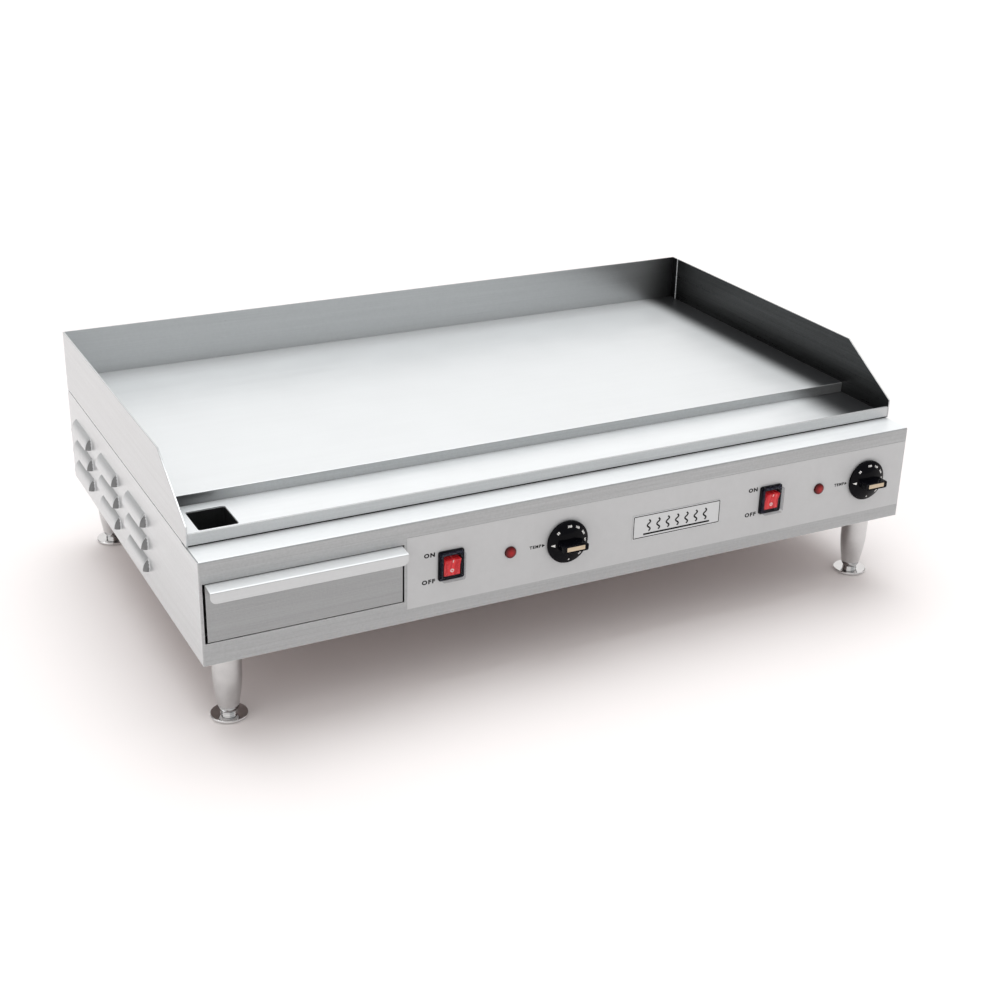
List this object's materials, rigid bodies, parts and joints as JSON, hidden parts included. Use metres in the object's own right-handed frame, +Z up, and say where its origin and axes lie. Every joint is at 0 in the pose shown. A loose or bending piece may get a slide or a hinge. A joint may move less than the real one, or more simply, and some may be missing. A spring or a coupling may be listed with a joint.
{
  "type": "flat top griddle",
  "caption": "Countertop electric flat top griddle with splash guards, front grease trough and drain, grease drawer, rotary thermostats, rocker switches and adjustable legs.",
  "frame": {"origin": "on the worktop, under the middle of the whole machine's footprint", "axes": "+X to the operator's right along the front, +Y away from the operator to the back, +Z up"},
  "size_m": [0.93, 0.593, 0.2837],
  "materials": {
    "plate_steel": "machined and polished steel",
    "stainless": "brushed stainless sheet",
    "drawer_stainless": "brushed stainless sheet",
    "galvanised_sheet": "galvanised sheet, dull",
    "zinc_steel": "zinc plated",
    "element_sheath": "oxidised nickel alloy sheath",
    "copper": "drawn copper",
    "mineral_wool": "matt fibre",
    "black_rubber": "matt",
    "overlay_film": "satin printed film",
    "nameplate_film": "printed aluminium",
    "switch_black": "gloss",
    "rocker_red": "gloss",
    "clear_boot": "clear flexible vinyl",
    "lens_red": "translucent red, gloss",
    "white_nylon": "satin",
    "thermostat_phenolic": "moulded phenolic",
    "knob_black": "high gloss phenolic",
    "insert_tan": "satin",
    "leg_chrome": "satin chrome",
    "foot_chrome": "bright chrome",
    "black_nylon": "moulded nylon",
    "white_ceramic": "glazed"
  },
  "bodies": {
    "case": {"griddle_plate": "plate_steel", "splash_left": "stainless", "splash_right": "stainless", "splash_back": "stainless", "grease_trough": "stainless", "drain_plate": "stainless", "trough_lip": "stainless", "drain_chute": "stainless", "top_seal": "black_rubber", "plate_studs": "zinc_steel", "clamp_bars": "zinc_steel", "clamp_nuts": "zinc_steel", "insulation_blanket": "mineral_wool", "heat_pan": "galvanised_sheet", "front_panel": "stainless", "control_overlay": "overlay_film", "nameplate": "nameplate_film", "back_panel": "stainless", "bottom_panel": "galvanised_sheet", "bay_wall": "galvanised_sheet", "drawer_runners": "galvanised_sheet", "back_screws": "zinc_steel", "leg_nuts": "zinc_steel", "cable_gland": "black_nylon", "terminal_block": "white_ceramic", "heating_element_left": "element_sheath", "bulb_and_capillary_left": "copper", "side_panel_left": "stainless", "switch_body_left": "switch_black", "switch_boot_left": "clear_boot", "pilot_lens_left": "lens_red", "pilot_body_left": "white_nylon", "thermostat_body_left": "thermostat_phenolic", "heating_element_right": "element_sheath", "bulb_and_capillary_right": "copper", "side_panel_right": "stainless", "switch_body_right": "switch_black", "switch_boot_right": "clear_boot", "pilot_lens_right": "lens_red", "pilot_body_right": "white_nylon", "thermostat_body_right": "thermostat_phenolic", "leg_front_left": "leg_chrome", "leg_front_right": "leg_chrome", "leg_rear_left": "leg_chrome", "leg_rear_right": "leg_chrome"},
    "drawer": {"drawer_tray": "drawer_stainless", "drawer_front": "drawer_stainless", "drawer_handle": "drawer_stainless"},
    "rocker_left": {"rocker_left": "rocker_red"},
    "knob_left": {"knob_left": "knob_black", "knob_insert_left": "insert_tan", "thermostat_shaft_left": "zinc_steel"},
    "rocker_right": {"rocker_right": "rocker_red"},
    "knob_right": {"knob_right": "knob_black", "knob_insert_right": "insert_tan", "thermostat_shaft_right": "zinc_steel"},
    "foot_front_left": {"foot_front_left": "foot_chrome"},
    "foot_front_right": {"foot_front_right": "foot_chrome"},
    "foot_rear_left": {"foot_rear_left": "foot_chrome"},
    "foot_rear_right": {"foot_rear_right": "foot_chrome"}
  },
  "joints": [
    {"name": "drawer_slide", "type": "slide", "parent": "case", "child": "drawer", "axis": [0, -1, 0], "range_m": [0, 0.28]},
    {"name": "rocker_left_tilt", "type": "hinge", "parent": "case", "child": "rocker_left", "pos_m": [-0.175, -0.2691, 0.1473], "axis": [-1, 0, 0], "range_deg": [0, 20]},
    {"name": "rocker_right_tilt", "type": "hinge", "parent": "case", "child": "rocker_right", "pos_m": [0.252, -0.2691, 0.1473], "axis": [-1, 0, 0], "range_deg": [0, 20]},
    {"name": "knob_left_turn", "type": "hinge", "parent": "case", "child": "knob_left", "pos_m": [-0.0298, -0.2725, 0.147], "axis": [0, 1, 0], "range_deg": [0, 300]},
    {"name": "knob_right_turn", "type": "hinge", "parent": "case", "child": "knob_right", "pos_m": [0.3972, -0.2725, 0.147], "axis": [0, 1, 0], "range_deg": [0, 300]},
    {"name": "foot_front_left_level", "type": "slide", "parent": "case", "child": "foot_front_left", "axis": [0, 0, -1], "range_m": [0, 0.025]},
    {"name": "foot_front_right_level", "type": "slide", "parent": "case", "child": "foot_front_right", "axis": [0, 0, -1], "range_m": [0, 0.025]},
    {"name": "foot_rear_left_level", "type": "slide", "parent": "case", "child": "foot_rear_left", "axis": [0, 0, -1], "range_m": [0, 0.025]},
    {"name": "foot_rear_right_level", "type": "slide", "parent": "case", "child": "foot_rear_right", "axis": [0, 0, -1], "range_m": [0, 0.025]}
  ]
}
